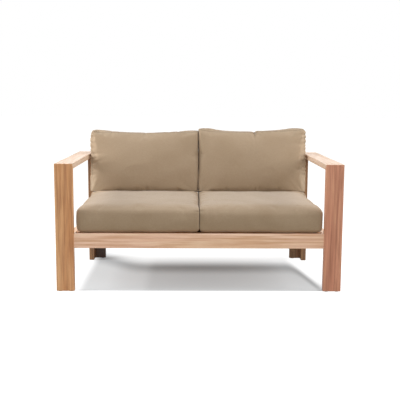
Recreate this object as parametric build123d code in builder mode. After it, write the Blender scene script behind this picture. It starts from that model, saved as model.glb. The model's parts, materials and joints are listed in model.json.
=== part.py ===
from build123d import *
import os
from math import cos, pi, sin, sqrt

# Patio loveseat: a frame of flat timber boards with two loose seat cushions and
# two loose back cushions. Millimetres, +Z up, and the front faces -Y. The origin
# is on the floor under the middle of the frame. Left is -X, as someone sees it
# who stands in front.

# Overall size
overall_width = 1400.0
overall_depth = 815.0
arm_height = 630.0

# Boards of the frame
board_width = 88.0
board_thickness = 28.0
arm_thickness = 27.0
edge_round = 1.6

# Seat rails
rail_height = 72.0
rail_top = 288.0
front_rail_setback = 5.0
centre_beam_thickness = 28.0
cleat_size = 24.0
corner_block_size = 40.0

# Rear legs, each an L of two planks, and the wide board on top of them
rear_leg_inset = 65.0
side_plank_width = 62.0
shelf_width = 145.0
shelf_front_overhang = 21.0

# Slats
slat_thickness = 16.0
slat_width = 64.0
slat_end_gap = 1.0
least_seat_slat_gap = 22.0
least_back_slat_gap = 75.0

# Feet
glide_height = 2.0
glide_radius = 11.0
glide_stem_radius = 3.0
glide_stem_length = 14.0
glide_spacing = 52.0

# Dowels
arm_dowel_radius = 5.0
arm_dowel_reach = 20.0
arm_dowel_spacing = 50.0
mitre_dowel_radius = 4.0
mitre_dowel_reach = 11.0
rail_dowel_radius = 4.0
rail_dowel_reach = 12.0
rail_dowel_spacing = 14.0

# Bolts with barrel nuts
bolt_radius = 4.0
bolt_head_radius = 6.5
bolt_head_height = 5.0
bolt_socket_width = 5.0
bolt_socket_depth = 3.0
bolt_recess = 7.0
bolt_spacing = 40.0
bolt_end_past_nut = 10.0
nut_radius = 5.5
nut_length = 16.0
nut_past_block = 15.0

# Wood screws
screw_radius = 2.0
screw_head_radius = 4.0
screw_head_height = 2.4
slat_screw_length = 35.0
frame_screw_length = 58.0
block_screw_edge = 9.0
plank_screw_margin = 90.0
plate_screw_length = 16.0

# Steel plates under the arm joints and brackets under the shelf
plate_thickness = 2.5
plate_width = 26.0
plate_length = 120.0
plate_screw_edge = 14.0
bracket_leg = 38.0
bracket_width = 30.0

# Seat cushions
seat_cushion_setback = 8.0
seat_cushion_side_gap = 12.5
seat_cushion_edge = 128.0
seat_cushion_crown = 14.0
seat_front_bulge = 11.0
seat_front_top_round = 40.0
seat_front_low_round = 18.0
seat_rear_round = 16.0
seat_side_run = 46.0
seat_side_pull = 20.0

# Back cushions
back_cushion_side_gap = 13.5
back_cushion_middle_height = 331.0
back_cushion_foot = 118.0
back_cushion_head = 92.0
back_front_bulge = 30.0
back_round_share = 0.27
back_side_run = 40.0
back_side_pull = 20.0
left_back_outer_rise = 6.0
left_back_inner_rise = 11.0
right_back_inner_rise = 18.0
right_back_outer_rise = 25.0

# Covers, fillings and zips
cover_thickness = 3.0
zip_length = 440.0
zip_width = 22.0
zip_depth = 1.5
zip_teeth_width = 5.0
zip_teeth_height = 0.4
zip_pull_length = 16.0

# Clearances
soft_gap = 0.3
cushion_gap = 0.8
bore_gap = 0.1
overrun = 1.0

# Levels
arm_bottom = arm_height - arm_thickness
rail_bottom = rail_top - rail_height
slat_bottom = rail_top - slat_thickness
cleat_bottom = slat_bottom - cleat_size
top_rail_bottom = arm_bottom - rail_height
rail_middle = (rail_top + rail_bottom) / 2
top_rail_middle = (arm_bottom + top_rail_bottom) / 2

# Stations across the width, from the middle outwards
side_x = overall_width / 2
leg_inner_x = side_x - board_width
leg_middle_x = side_x - board_width / 2
frame_x = side_x - rear_leg_inset
frame_inner_x = frame_x - board_thickness
plank_inner_x = frame_x - board_width
nut_x = frame_inner_x - corner_block_size - nut_past_block
cleat_middle_x = frame_inner_x - cleat_size / 2

# Stations from the front to the rear
front_y = -overall_depth / 2
rear_y = overall_depth / 2
leg_rear_y = front_y + board_thickness
front_rail_y = front_y + front_rail_setback
shelf_front_y = rear_y - shelf_width
side_plank_y = shelf_front_y + shelf_front_overhang
back_plank_y = side_plank_y + side_plank_width
back_plank_rear_y = back_plank_y + board_thickness
rear_rail_rear_y = side_plank_y + board_thickness
back_slat_y = side_plank_y - slat_thickness
front_bolt_y = (front_rail_y + leg_rear_y) / 2
rear_bolt_y = (side_plank_y + rear_rail_rear_y) / 2

SIDES = {"left": -1, "right": 1}


def save(builder, name):
    """Label a finished piece and write it under its own name."""
    builder.part.label = name
    export_step(builder.part, f"parts/{name}.step")


def board(x_span, y_span, z_span):
    """A planed board between two places on each axis, with eased edges."""
    low = [min(span) for span in (x_span, y_span, z_span)]
    size = [max(span) - min(span) for span in (x_span, y_span, z_span)]
    with Locations(tuple(low)):
        Box(*size, align=Align.MIN)
    fillet(edges(), edge_round)


def outward(place, direction):
    """The plane of a hole's mouth, whose normal points out of the timber."""
    return Plane(origin=place, z_dir=direction)


def peg(place, direction, radius, length, mode=Mode.ADD):
    """A round bar that runs into the timber from a place on its surface."""
    with Locations(outward(place, direction).location):
        Cylinder(radius, length, align=(Align.CENTER, Align.CENTER, Align.MAX), mode=mode)


def screw(place, direction, length):
    """A countersunk wood screw with its head flush."""
    peg(place, direction, screw_radius, length)
    with Locations(outward(place, direction).location):
        Cone(
            screw_radius,
            screw_head_radius,
            screw_head_height,
            align=(Align.CENTER, Align.CENTER, Align.MAX),
        )


def screw_hole(place, direction, length):
    """The countersunk hole that a wood screw sits in."""
    peg(place, direction, screw_radius + bore_gap, length + bore_gap, Mode.SUBTRACT)
    with Locations(outward(place, direction).location):
        Cone(
            screw_radius + bore_gap,
            screw_head_radius + bore_gap,
            screw_head_height + bore_gap,
            align=(Align.CENTER, Align.CENTER, Align.MAX),
            mode=Mode.SUBTRACT,
        )


def double_peg(place, direction, radius, reach, mode=Mode.ADD):
    """A dowel that reaches the same way to both sides of a joint."""
    with Locations(outward(place, direction).location):
        Cylinder(radius, 2 * reach, mode=mode)


def spread(first, last, width, least_gap):
    """Middles of equal slats between two places, with equal gaps all along."""
    room = last - first
    count = int((room - least_gap) // (width + least_gap))
    gap = (room - count * width) / (count + 1)
    return [first + gap + width / 2 + i * (width + gap) for i in range(count)]


seat_slat_places = spread(leg_rear_y, back_slat_y, slat_width, least_seat_slat_gap)
right_back_slats = spread(least_back_slat_gap / -2, frame_inner_x, slat_width, least_back_slat_gap)
back_slat_places = [-x for x in reversed(right_back_slats)] + right_back_slats

# Places of the fasteners
slat_screw_xs = (-cleat_middle_x, 0, cleat_middle_x)
seat_screw_places = [(x, y, rail_top) for y in seat_slat_places for x in slat_screw_xs]
back_screw_levels = ((cleat_bottom + rail_top) / 2, top_rail_middle)
back_screw_places = [(x, back_slat_y, z) for x in back_slat_places for z in back_screw_levels]
plank_screw_levels = (plank_screw_margin, rail_middle, arm_bottom - plank_screw_margin)
bolt_levels = [rail_middle + bolt_spacing * share for share in (-0.5, 0.5)]
top_bolt_levels = [top_rail_middle + bolt_spacing * share for share in (-0.5, 0.5)]
rail_dowel_levels = [rail_middle + rail_dowel_spacing * share for share in (-0.5, 0.5)]
arm_dowel_offsets = [arm_dowel_spacing * share for share in (-0.5, 0.5)]
glide_offsets = [glide_spacing * share for share in (-0.5, 0.5)]
bracket_xs = [frame_inner_x * share for share in (-0.75, -0.25, 0.25, 0.75)]
arm_joint_z = arm_height - arm_thickness / 2
mitre_middle_y = (front_y + leg_rear_y) / 2
mitre_way = (0, arm_thickness, board_thickness)
mitre = Plane(origin=(0, front_y, arm_height), x_dir=(1, 0, 0), z_dir=mitre_way)
leg_dowel_x = (leg_inner_x + frame_x) / 2
plank_dowel_x = (frame_inner_x + frame_x) / 2


def glide_places(side):
    """Where the glides of one side of the frame stand."""
    front = [(side * leg_middle_x + dx, (front_y + leg_rear_y) / 2) for dx in glide_offsets]
    plank_middle_x = (frame_x + plank_inner_x) / 2
    rear = [(side * plank_middle_x + dx, (back_plank_y + back_plank_rear_y) / 2) for dx in glide_offsets]
    return front, rear


def glide_sockets(places):
    """Stem holes in the foot of a leg."""
    for x, y in places:
        length = glide_stem_length + bore_gap
        peg((x, y, glide_height), (0, 0, -1), glide_stem_radius + bore_gap, length, Mode.SUBTRACT)


def bolt_hole(side, outer_x, y, z):
    """A counterbored bolt hole that runs inwards across a leg."""
    place = (side * outer_x, y, z)
    reach = outer_x - nut_x + bolt_end_past_nut
    peg(place, (side, 0, 0), bolt_radius + bore_gap, reach, Mode.SUBTRACT)
    peg(place, (side, 0, 0), bolt_head_radius + bore_gap, bolt_recess, Mode.SUBTRACT)


def rail_end_bores(y, face_y, levels):
    """Bolt bores in both ends of a rail, each met by its barrel nut's bore."""
    for side in SIDES.values():
        for z in levels:
            end = (side * (frame_x + board_width), y, z)
            reach = frame_x + board_width - nut_x + bolt_end_past_nut
            peg(end, (side, 0, 0), bolt_radius + bore_gap, reach, Mode.SUBTRACT)
            depth = face_y - y + nut_length / 2 + bore_gap
            peg((side * nut_x, face_y, z), (0, 1, 0), nut_radius + bore_gap, depth, Mode.SUBTRACT)


def mitre_bores(side):
    """Bores across the mitre between a front leg and its arm."""
    for dx in arm_dowel_offsets:
        joint = (side * leg_middle_x + dx, mitre_middle_y, arm_joint_z)
        reach = mitre_dowel_reach + bore_gap
        double_peg(joint, mitre_way, mitre_dowel_radius + bore_gap, reach, Mode.SUBTRACT)


def front_leg(side, name):
    """A flat board that stands face-on, mitred to the front end of an arm."""
    with BuildPart() as leg:
        board((side * leg_inner_x, side * side_x), (front_y, leg_rear_y), (glide_height, arm_height))
        split(bisect_by=mitre, keep=Keep.BOTTOM)
        glide_sockets(glide_places(side)[0])
        for z in bolt_levels:
            bolt_hole(side, side_x, front_bolt_y, z)
        for z in rail_dowel_levels:
            place = (side * leg_dowel_x, leg_rear_y, z)
            reach = rail_dowel_reach + bore_gap
            double_peg(place, (0, 1, 0), rail_dowel_radius + bore_gap, reach, Mode.SUBTRACT)
        mitre_bores(side)
    save(leg, f"front_leg_{name}")


def arm(side, name):
    """A flat board from its mitre at the front leg back to the shelf."""
    with BuildPart() as rest:
        board((side * leg_inner_x, side * side_x), (front_y, shelf_front_y), (arm_bottom, arm_height))
        split(bisect_by=mitre, keep=Keep.TOP)
        mitre_bores(side)
        for dx in arm_dowel_offsets:
            joint = (side * leg_middle_x + dx, shelf_front_y, arm_joint_z)
            reach = arm_dowel_reach + bore_gap
            double_peg(joint, (0, 1, 0), arm_dowel_radius + bore_gap, reach, Mode.SUBTRACT)
        for place in plate_screw_places(side):
            screw_hole(place, (0, 0, -1), plate_screw_length)
    save(rest, f"arm_{name}")


def plate_screw_places(side):
    """Screws of the steel plate under one arm joint."""
    shares = (-0.5, -0.22, 0.22, 0.5)
    run = plate_length - 2 * plate_screw_edge
    z = arm_bottom - plate_thickness
    return [(side * leg_middle_x, shelf_front_y + run * share, z) for share in shares]


def bracket_screw_places(x):
    """Screws of one shelf bracket: into the shelf above, and into the rail in front."""
    reach = bracket_leg - plate_screw_edge
    up = (x, rear_rail_rear_y + reach, arm_bottom - plate_thickness)
    forward = (x, rear_rail_rear_y + plate_thickness, arm_bottom - reach)
    return up, forward


with BuildPart() as back_shelf:
    board((-side_x, side_x), (shelf_front_y, rear_y), (arm_bottom, arm_height))
    for side in SIDES.values():
        for dx in arm_dowel_offsets:
            joint = (side * leg_middle_x + dx, shelf_front_y, arm_joint_z)
            hole_reach = arm_dowel_reach + bore_gap
            double_peg(joint, (0, 1, 0), arm_dowel_radius + bore_gap, hole_reach, Mode.SUBTRACT)
        for place in plate_screw_places(side):
            screw_hole(place, (0, 0, -1), plate_screw_length)
    for x in bracket_xs:
        screw_hole(bracket_screw_places(x)[0], (0, 0, -1), plate_screw_length)


def rear_side_plank(side, name):
    """The plank of a rear leg that shows its edge to the front."""
    with BuildPart() as plank:
        span_x = (side * frame_inner_x, side * frame_x)
        board(span_x, (side_plank_y, back_plank_y), (glide_height, arm_bottom))
        for z in bolt_levels + top_bolt_levels:
            bolt_hole(side, frame_x, rear_bolt_y, z)
        for z in rail_dowel_levels:
            place = (side * plank_dowel_x, side_plank_y, z)
            reach = rail_dowel_reach + bore_gap
            double_peg(place, (0, 1, 0), rail_dowel_radius + bore_gap, reach, Mode.SUBTRACT)
        for z in plank_screw_levels:
            screw_hole((side * plank_dowel_x, back_plank_rear_y, z), (0, 1, 0), frame_screw_length)
    save(plank, f"rear_leg_side_{name}")


def rear_back_plank(side, name):
    """The plank of a rear leg that shows its face to the rear."""
    with BuildPart() as plank:
        span_x = (side * plank_inner_x, side * frame_x)
        board(span_x, (back_plank_y, back_plank_rear_y), (glide_height, arm_bottom))
        glide_sockets(glide_places(side)[1])
        for z in plank_screw_levels:
            screw_hole((side * plank_dowel_x, back_plank_rear_y, z), (0, 1, 0), frame_screw_length)
    save(plank, f"rear_leg_back_{name}")


def block_screw_places(side, end):
    """Screws of one corner block, into the side rail and into the cross rail.

    The end is -1 for the front corner and 1 for the rear one.
    """
    inner_x = side * (frame_inner_x - corner_block_size)
    rail_y = leg_rear_y if end < 0 else side_plank_y
    inner_y = rail_y - end * corner_block_size
    middle_x = side * (frame_inner_x - corner_block_size / 2)
    middle_y = rail_y - end * corner_block_size / 2
    low, high = rail_bottom + block_screw_edge, slat_bottom - block_screw_edge
    into_side = [((inner_x, middle_y, z), (-side, 0, 0)) for z in (low, high)]
    into_cross = [((middle_x, inner_y, rail_middle - slat_thickness / 2), (0, -end, 0))]
    return into_side + into_cross


def block_holes():
    """Every hole that the corner blocks' screws need."""
    for side in SIDES.values():
        for end in (-1, 1):
            for place, direction in block_screw_places(side, end):
                screw_hole(place, direction, frame_screw_length)


def side_rail(side, name):
    """The seat rail between a front leg and a rear leg."""
    with BuildPart() as rail:
        span_x = (side * frame_inner_x, side * frame_x)
        board(span_x, (leg_rear_y, side_plank_y), (rail_bottom, rail_top))
        reach = rail_dowel_reach + bore_gap
        for z in rail_dowel_levels:
            for place in ((side * leg_dowel_x, leg_rear_y, z), (side * plank_dowel_x, side_plank_y, z)):
                double_peg(place, (0, 1, 0), rail_dowel_radius + bore_gap, reach, Mode.SUBTRACT)
        block_holes()
    save(rail, f"side_rail_{name}")


with BuildPart() as front_rail:
    board((-leg_inner_x, leg_inner_x), (front_rail_y, leg_rear_y), (rail_bottom, rail_top))
    rail_end_bores(front_bolt_y, leg_rear_y, bolt_levels)
    block_holes()

with BuildPart() as rear_rail:
    board((-frame_inner_x, frame_inner_x), (side_plank_y, rear_rail_rear_y), (rail_bottom, rail_top))
    rail_end_bores(rear_bolt_y, rear_rail_rear_y, bolt_levels)
    block_holes()
    for place in back_screw_places:
        screw_hole(place, (0, -1, 0), slat_screw_length)

with BuildPart() as back_top_rail:
    span_y = (side_plank_y, rear_rail_rear_y)
    board((-frame_inner_x, frame_inner_x), span_y, (top_rail_bottom, arm_bottom))
    rail_end_bores(rear_bolt_y, rear_rail_rear_y, top_bolt_levels)
    for place in back_screw_places:
        screw_hole(place, (0, -1, 0), slat_screw_length)
    for x in bracket_xs:
        screw_hole(bracket_screw_places(x)[1], (0, 1, 0), plate_screw_length)

with BuildPart() as centre_beam:
    half_beam = centre_beam_thickness / 2
    board((-half_beam, half_beam), (leg_rear_y, side_plank_y), (rail_bottom, slat_bottom))
    for place in seat_screw_places:
        screw_hole(place, (0, 0, 1), slat_screw_length)


def slat_cleat(side, name):
    """The ledge on a side rail that carries the seat slats between the corner blocks."""
    with BuildPart() as cleat:
        inner_x = frame_inner_x - cleat_size
        span_y = (leg_rear_y + corner_block_size, side_plank_y - corner_block_size)
        board((side * inner_x, side * frame_inner_x), span_y, (cleat_bottom, slat_bottom))
        for place in seat_screw_places:
            screw_hole(place, (0, 0, 1), slat_screw_length)
    save(cleat, f"slat_cleat_{name}")


def corner_block(side, name, end, end_name):
    """A square block screwed into a corner of the seat frame."""
    with BuildPart() as block:
        rail_y = leg_rear_y if end < 0 else side_plank_y
        inner_x = frame_inner_x - corner_block_size
        span_y = (rail_y, rail_y - end * corner_block_size)
        board((side * inner_x, side * frame_inner_x), span_y, (rail_bottom, slat_bottom))
        for place, direction in block_screw_places(side, end):
            screw_hole(place, direction, frame_screw_length)
        for place in seat_screw_places:
            screw_hole(place, (0, 0, 1), slat_screw_length)
    save(block, f"corner_block_{end_name}_{name}")


def seat_slat(number, y):
    """A slat across the seat, on the two cleats and the centre beam."""
    with BuildPart() as slat:
        half = frame_inner_x - slat_end_gap
        board((-half, half), (y - slat_width / 2, y + slat_width / 2), (slat_bottom, rail_top))
        for x in slat_screw_xs:
            screw_hole((x, y, rail_top), (0, 0, 1), slat_screw_length)
    save(slat, f"seat_slat_{number}")


def back_slat(number, x):
    """An upright slat in front of the two rear rails."""
    with BuildPart() as slat:
        span_x = (x - slat_width / 2, x + slat_width / 2)
        board(span_x, (back_slat_y, side_plank_y), (cleat_bottom, arm_bottom))
        for z in back_screw_levels:
            screw_hole((x, back_slat_y, z), (0, -1, 0), slat_screw_length)
    save(slat, f"back_slat_{number}")


with BuildPart() as foot_glides:
    for side in SIDES.values():
        for places in glide_places(side):
            for x, y in places:
                peg((x, y, 0), (0, 0, -1), glide_radius, glide_height)
                peg((x, y, glide_height), (0, 0, -1), glide_stem_radius, glide_stem_length)

with BuildPart() as arm_dowels:
    for side in SIDES.values():
        for dx in arm_dowel_offsets:
            x = side * leg_middle_x + dx
            double_peg((x, mitre_middle_y, arm_joint_z), mitre_way, mitre_dowel_radius, mitre_dowel_reach)
            double_peg((x, shelf_front_y, arm_joint_z), (0, 1, 0), arm_dowel_radius, arm_dowel_reach)

with BuildPart() as rail_dowels:
    for side in SIDES.values():
        for z in rail_dowel_levels:
            for joint in ((side * leg_dowel_x, leg_rear_y, z), (side * plank_dowel_x, side_plank_y, z)):
                double_peg(joint, (0, 1, 0), rail_dowel_radius, rail_dowel_reach)


def bolt(side, outer_x, y, z):
    """A socket-head bolt whose head sits in its counterbore."""
    seat_x = side * (outer_x - bolt_recess)
    length = outer_x - bolt_recess - nut_x + bolt_end_past_nut - bore_gap
    peg((seat_x, y, z), (side, 0, 0), bolt_radius, length)
    head = outward((seat_x + side * bolt_head_height, y, z), (side, 0, 0))
    with Locations(head.location):
        Cylinder(bolt_head_radius, bolt_head_height, align=(Align.CENTER, Align.CENTER, Align.MAX))
    with BuildSketch(head) as socket:
        RegularPolygon(bolt_socket_width / 2, 6)
    extrude(socket.sketch, amount=-bolt_socket_depth, mode=Mode.SUBTRACT)


with BuildPart() as front_bolts:
    for side in SIDES.values():
        for z in bolt_levels:
            bolt(side, side_x, front_bolt_y, z)

with BuildPart() as rear_bolts:
    for side in SIDES.values():
        for z in bolt_levels + top_bolt_levels:
            bolt(side, frame_x, rear_bolt_y, z)

with BuildPart() as barrel_nuts:
    nut_rows = ((front_bolt_y, bolt_levels), (rear_bolt_y, bolt_levels + top_bolt_levels))
    for side in SIDES.values():
        for nut_y, levels in nut_rows:
            for z in levels:
                double_peg((side * nut_x, nut_y, z), (0, 1, 0), nut_radius, nut_length / 2)
                thread_reach = nut_radius + overrun
                hole_radius = bolt_radius + bore_gap
                double_peg((side * nut_x, nut_y, z), (1, 0, 0), hole_radius, thread_reach, Mode.SUBTRACT)

with BuildPart() as arm_plates:
    for side in SIDES.values():
        with Locations((side * leg_middle_x, shelf_front_y, arm_bottom)):
            hanging = (Align.CENTER, Align.CENTER, Align.MAX)
            Box(plate_width, plate_length, plate_thickness, align=hanging)
        for place in plate_screw_places(side):
            screw_hole(place, (0, 0, -1), plate_screw_length)

with BuildPart() as shelf_brackets:
    for x in bracket_xs:
        with BuildSketch(Plane.YZ.offset(x - bracket_width / 2)):
            with BuildLine():
                Polyline(
                    (rear_rail_rear_y, arm_bottom),
                    (rear_rail_rear_y, arm_bottom - bracket_leg),
                    (rear_rail_rear_y + plate_thickness, arm_bottom - bracket_leg),
                    (rear_rail_rear_y + plate_thickness, arm_bottom - plate_thickness),
                    (rear_rail_rear_y + bracket_leg, arm_bottom - plate_thickness),
                    (rear_rail_rear_y + bracket_leg, arm_bottom),
                    close=True,
                )
            make_face()
        extrude(amount=bracket_width)
        screw_up, screw_forward = bracket_screw_places(x)
        screw_hole(screw_up, (0, 0, -1), plate_screw_length)
        screw_hole(screw_forward, (0, 1, 0), plate_screw_length)

with BuildPart() as plate_screws:
    for side in SIDES.values():
        for place in plate_screw_places(side):
            screw(place, (0, 0, -1), plate_screw_length)
    for x in bracket_xs:
        screw_up, screw_forward = bracket_screw_places(x)
        screw(screw_up, (0, 0, -1), plate_screw_length)
        screw(screw_forward, (0, 1, 0), plate_screw_length)

with BuildPart() as slat_screws:
    for place in seat_screw_places:
        screw(place, (0, 0, 1), slat_screw_length)
    for place in back_screw_places:
        screw(place, (0, -1, 0), slat_screw_length)

with BuildPart() as frame_screws:
    for side in SIDES.values():
        for z in plank_screw_levels:
            screw((side * plank_dowel_x, back_plank_rear_y, z), (0, 1, 0), frame_screw_length)
        for end in (-1, 1):
            for place, direction in block_screw_places(side, end):
                screw(place, direction, frame_screw_length)


FRONT, REAR, DOWN, UP = Vector(-1, 0), Vector(1, 0), Vector(0, -1), Vector(0, 1)


def round_corner(y, z, radius, first, second):
    """A quarter round at a square corner, whose ends lie the first and the second way from it."""
    corner = Vector(y, z)
    centre = corner + (first + second) * radius
    middle = centre + (corner - centre).normalized() * radius
    ThreePointArc(corner + first * radius, middle, corner + second * radius)


def bulge_arc(start, end, height):
    """A shallow arc that stands out to the right of its way."""
    start, end = Vector(*start), Vector(*end)
    way = (end - start).normalized()
    middle = (start + end) / 2 + Vector(way.Y, -way.X) * height
    ThreePointArc(start, middle, end)


def crown_level(half_chord, crown, offset):
    """Height of a shallow arc over its chord, at an offset from its middle."""
    radius = (half_chord**2 + crown**2) / (2 * crown)
    return sqrt(radius**2 - offset**2) - (radius - crown)


def stations(first_x, last_x, run, pull):
    """Sections across a cushion: place, how far each is drawn in, and share of the way."""
    turn_shares = (0.0, 0.2, 0.4, 0.6, 0.8, 1.0)
    middle_shares = (0.17, 0.28, 0.4, 0.5, 0.6, 0.72, 0.83)
    width = last_x - first_x
    turns = [pi / 2 * share for share in turn_shares]
    rounding = [(run * (1 - cos(turn)), pull * (1 - sin(turn))) for turn in turns]
    low = [(first_x + distance, inset) for distance, inset in rounding]
    middle = [(first_x + width * share, 0) for share in middle_shares]
    high = [(last_x - distance, inset) for distance, inset in reversed(rounding)]
    return [(x, inset, (x - first_x) / width) for x, inset in low + middle + high]


# Space of the seat cushions
seat_y = front_y + seat_cushion_setback
seat_rear_y = back_slat_y - soft_gap
seat_low_z = rail_top + soft_gap
seat_edge_z = seat_low_z + seat_cushion_edge
seat_outer_x = leg_inner_x - seat_cushion_side_gap
seat_chord_y = seat_y + seat_front_bulge + seat_front_top_round
seat_half_chord = (seat_rear_y - seat_rear_round - seat_chord_y) / 2
seat_chord_middle_y = seat_chord_y + seat_half_chord

# Space of the back cushions, which stand on the crown of the seat cushions
back_rear_y = shelf_front_y - soft_gap
back_foot_y = back_rear_y - back_cushion_foot
back_head_y = back_rear_y - back_cushion_head
back_contact_offset = back_foot_y + back_round_share * back_cushion_head - seat_chord_middle_y
back_seat_level = crown_level(seat_half_chord, seat_cushion_crown, back_contact_offset)
back_low_z = seat_edge_z + soft_gap + back_seat_level
back_outer_x = leg_inner_x - back_cushion_side_gap


def seat_section(x, inset, share, wall):
    """One section of a seat cushion, drawn in from its outside by a wall and an inset."""
    swell_share = 1 - 0.7 * abs(2 * share - 1) ** 3
    draw = wall + inset
    low, high = seat_low_z + draw, seat_edge_z - draw
    front, rear = seat_y + seat_front_bulge + draw, seat_rear_y - draw
    top_round, low_round = seat_front_top_round - wall, seat_front_low_round - wall
    rear_round = seat_rear_round - wall
    with BuildSketch(Plane.YZ.offset(x)) as section:
        with BuildLine():
            Line((front + low_round, low), (rear - rear_round, low))
            round_corner(rear, low, rear_round, FRONT, UP)
            Line((rear, low + rear_round), (rear, high - rear_round))
            round_corner(rear, high, rear_round, DOWN, FRONT)
            top_ends = (rear - rear_round, high), (front + top_round, high)
            bulge_arc(*top_ends, seat_cushion_crown * swell_share)
            round_corner(front, high, top_round, REAR, DOWN)
            front_ends = (front, high - top_round), (front, low + low_round)
            bulge_arc(*front_ends, seat_front_bulge * swell_share)
            round_corner(front, low, low_round, UP, REAR)
        make_face()
    return section.sketch


def seat_form(first_x, last_x, wall):
    """A boxed seat cushion with a crowned top, or the same form inside its cover."""
    places = stations(first_x + wall, last_x - wall, seat_side_run, seat_side_pull)
    sections = [seat_section(*place, wall) for place in places]
    with BuildPart() as form:
        loft(sections, ruled=True)
    return form.part


def back_section(x, inset, share, wall, low_rise, high_rise):
    """One section of a back cushion, whose corners stand higher than its middle."""
    swell_share = 1 - 0.75 * abs(2 * share - 1) ** 3
    rise = (low_rise if share < 0.5 else high_rise) * abs(2 * share - 1) ** 1.6
    draw = wall + inset
    low, high = back_low_z + draw, back_low_z + back_cushion_middle_height + rise - draw
    foot, head, rear = back_foot_y + draw, back_head_y + draw, back_rear_y - draw
    corner = back_round_share * (rear - head)
    with BuildSketch(Plane.YZ.offset(x)) as section:
        with BuildLine():
            Line((foot + corner, low), (rear - corner, low))
            round_corner(rear, low, corner, FRONT, UP)
            Line((rear, low + corner), (rear, high - corner))
            round_corner(rear, high, corner, DOWN, FRONT)
            Line((rear - corner, high), (head + corner, high))
            round_corner(head, high, corner, REAR, DOWN)
            bulge_arc((head, high - corner), (foot, low + corner), back_front_bulge * swell_share)
            round_corner(foot, low, corner, UP, REAR)
        make_face()
    return section.sketch


def back_form(first_x, last_x, wall, low_rise, high_rise):
    """A plump back cushion, or the same form inside its cover."""
    places = stations(first_x + wall, last_x - wall, back_side_run, back_side_pull)
    sections = [back_section(*place, wall, low_rise, high_rise) for place in places]
    with BuildPart() as form:
        loft(sections, ruled=True)
    return form.part


def cushion(kind, name, outside, inside, filling, zip_place):
    """Write a cushion's cover, its filling and the zip let into the rear of the cover."""
    with BuildPart() as cover:
        add(outside)
        add(inside, mode=Mode.SUBTRACT)
        with Locations(zip_place):
            Box(
                zip_length + 2 * bore_gap,
                2 * (zip_depth + bore_gap),
                zip_width + 2 * bore_gap,
                mode=Mode.SUBTRACT,
            )
    save(cover, f"{kind}_cushion_cover_{name}")
    with BuildPart() as core:
        add(filling)
    save(core, f"{kind}_cushion_filling_{name}")
    with BuildPart() as zipper:
        rearwards = (Align.CENTER, Align.MIN, Align.CENTER)
        with Locations(zip_place - Vector(0, zip_depth)):
            Box(zip_length, zip_depth - zip_teeth_height, zip_width, align=rearwards)
            Box(zip_length, zip_depth, zip_teeth_width, align=rearwards)
        with Locations(zip_place + Vector(zip_pull_length / 2 - zip_length / 2, -zip_depth)):
            Box(zip_pull_length, zip_depth, 2 * zip_teeth_width, align=rearwards)
    save(zipper, f"{kind}_cushion_zip_{name}")


def seat_cushion(side, name):
    """One seat cushion with its filling and its zip."""
    span = sorted((side * cushion_gap / 2, side * seat_outer_x))
    inner_walls = (0, cover_thickness, cover_thickness + soft_gap)
    outside, inside, filling = (seat_form(*span, wall) for wall in inner_walls)
    zip_place = Vector(sum(span) / 2, seat_rear_y, (seat_low_z + seat_edge_z) / 2)
    cushion("seat", name, outside, inside, filling, zip_place)


def back_cushion(side, name, low_rise, high_rise):
    """One back cushion with its filling and its zip."""
    span = sorted((side * cushion_gap / 2, side * back_outer_x))
    inner_walls = (0, cover_thickness, cover_thickness + soft_gap)
    outside, inside, filling = (back_form(*span, wall, low_rise, high_rise) for wall in inner_walls)
    zip_z = back_low_z + back_round_share * back_cushion_head + back_side_pull + zip_width
    cushion("back", name, outside, inside, filling, Vector(sum(span) / 2, back_rear_y, zip_z))


os.makedirs("parts", exist_ok=True)

for side_name, side in SIDES.items():
    front_leg(side, side_name)
    arm(side, side_name)
    rear_side_plank(side, side_name)
    rear_back_plank(side, side_name)
    side_rail(side, side_name)
    slat_cleat(side, side_name)
    corner_block(side, side_name, -1, "front")
    corner_block(side, side_name, 1, "rear")
    seat_cushion(side, side_name)

back_cushion(-1, "left", left_back_outer_rise, left_back_inner_rise)
back_cushion(1, "right", right_back_inner_rise, right_back_outer_rise)

for slat_number, slat_y in enumerate(seat_slat_places, start=1):
    seat_slat(slat_number, slat_y)

for slat_number, slat_x in enumerate(back_slat_places, start=1):
    back_slat(slat_number, slat_x)

for piece, piece_name in (
    (back_shelf, "back_shelf"),
    (front_rail, "front_rail"),
    (rear_rail, "rear_rail"),
    (back_top_rail, "back_top_rail"),
    (centre_beam, "centre_beam"),
    (foot_glides, "foot_glides"),
    (arm_dowels, "arm_dowels"),
    (rail_dowels, "rail_dowels"),
    (front_bolts, "front_bolts"),
    (rear_bolts, "rear_bolts"),
    (barrel_nuts, "barrel_nuts"),
    (arm_plates, "arm_plates"),
    (shelf_brackets, "shelf_brackets"),
    (plate_screws, "plate_screws"),
    (slat_screws, "slat_screws"),
    (frame_screws, "frame_screws"),
):
    save(piece, piece_name)
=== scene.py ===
"""Looks of a patio loveseat: oiled timber boards, steel fastenings and four loose cushions."""

import json
import logging
import math
import random
from dataclasses import dataclass, field
from enum import Enum
from typing import ClassVar

import bmesh
import bpy
import numpy as np
from mathutils import Matrix, Vector


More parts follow.
